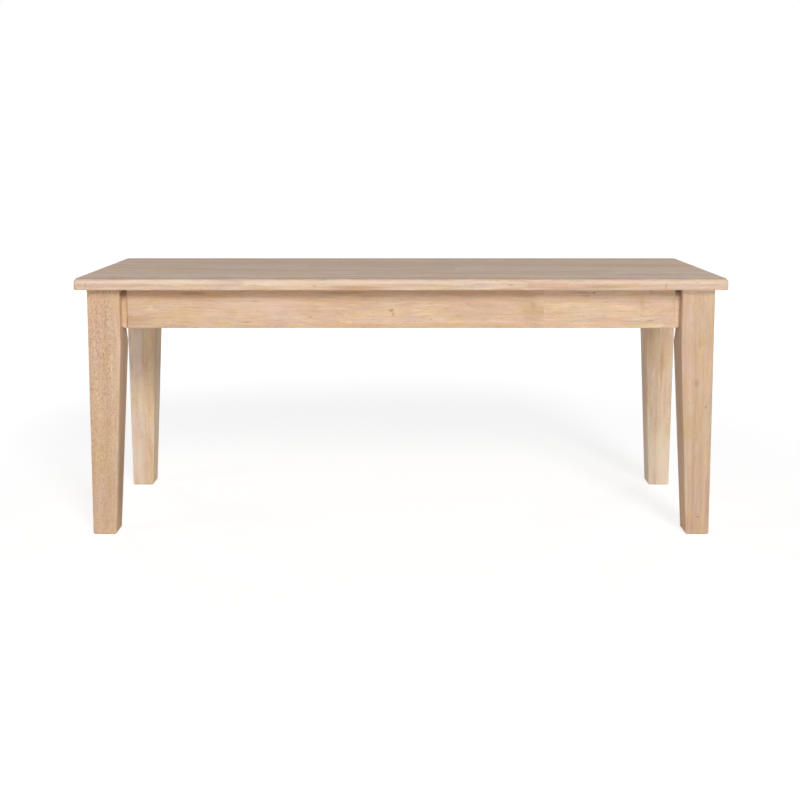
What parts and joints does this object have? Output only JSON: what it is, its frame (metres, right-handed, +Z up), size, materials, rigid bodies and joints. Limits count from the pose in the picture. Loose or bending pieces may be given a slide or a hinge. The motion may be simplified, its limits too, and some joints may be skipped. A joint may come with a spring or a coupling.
{
  "type": "bench",
  "caption": "Backless wooden bench with a rectangular edge-glued seat, plain aprons and legs tapered on their inner faces, for seating at a table or in a hall.",
  "frame": {"origin": "on the floor, under the middle of the seat", "axes": "+X along the bench towards its right end as seen from the front, +Y to the back, +Z up; the front faces -Y"},
  "size_m": [1.136, 0.38, 0.462],
  "materials": {
    "seat_wood": "sanded, unfinished",
    "apron_wood": "sanded, unfinished",
    "leg_wood": "sanded, unfinished",
    "frame_wood": "sawn, unfinished",
    "zinc_plated_steel": "bright zinc plating"
  },
  "bodies": {
    "root": {"block_screws": "zinc_plated_steel", "cross_rail": "frame_wood", "flat_washers": "zinc_plated_steel", "front_apron_left": "apron_wood", "front_apron_right": "apron_wood", "front_left_corner_block": "frame_wood", "front_left_leg_inner_layer": "leg_wood", "front_left_leg_outer_layer": "leg_wood", "front_right_corner_block": "frame_wood", "front_right_leg_inner_layer": "leg_wood", "front_right_leg_outer_layer": "leg_wood", "hanger_bolts": "zinc_plated_steel", "hex_nuts": "zinc_plated_steel", "left_apron": "apron_wood", "rear_apron_left": "apron_wood", "rear_apron_right": "apron_wood", "rear_left_corner_block": "frame_wood", "rear_left_leg_inner_layer": "leg_wood", "rear_left_leg_outer_layer": "leg_wood", "rear_right_corner_block": "frame_wood", "rear_right_leg_inner_layer": "leg_wood", "rear_right_leg_outer_layer": "leg_wood", "right_apron": "apron_wood", "seat_row_1_left": "seat_wood", "seat_row_1_middle": "seat_wood", "seat_row_1_right": "seat_wood", "seat_row_2_left": "seat_wood", "seat_row_2_middle": "seat_wood", "seat_row_2_right": "seat_wood", "seat_row_3_left": "seat_wood", "seat_row_3_middle": "seat_wood", "seat_row_3_right": "seat_wood", "seat_row_4_left": "seat_wood", "seat_row_4_middle": "seat_wood", "seat_row_4_right": "seat_wood", "seat_row_5_left": "seat_wood", "seat_row_5_middle": "seat_wood", "seat_row_5_right": "seat_wood", "seat_row_6_left": "seat_wood", "seat_row_6_middle": "seat_wood", "seat_row_6_right": "seat_wood", "seat_screws": "zinc_plated_steel", "spring_washers": "zinc_plated_steel"}
  },
  "joints": []
}
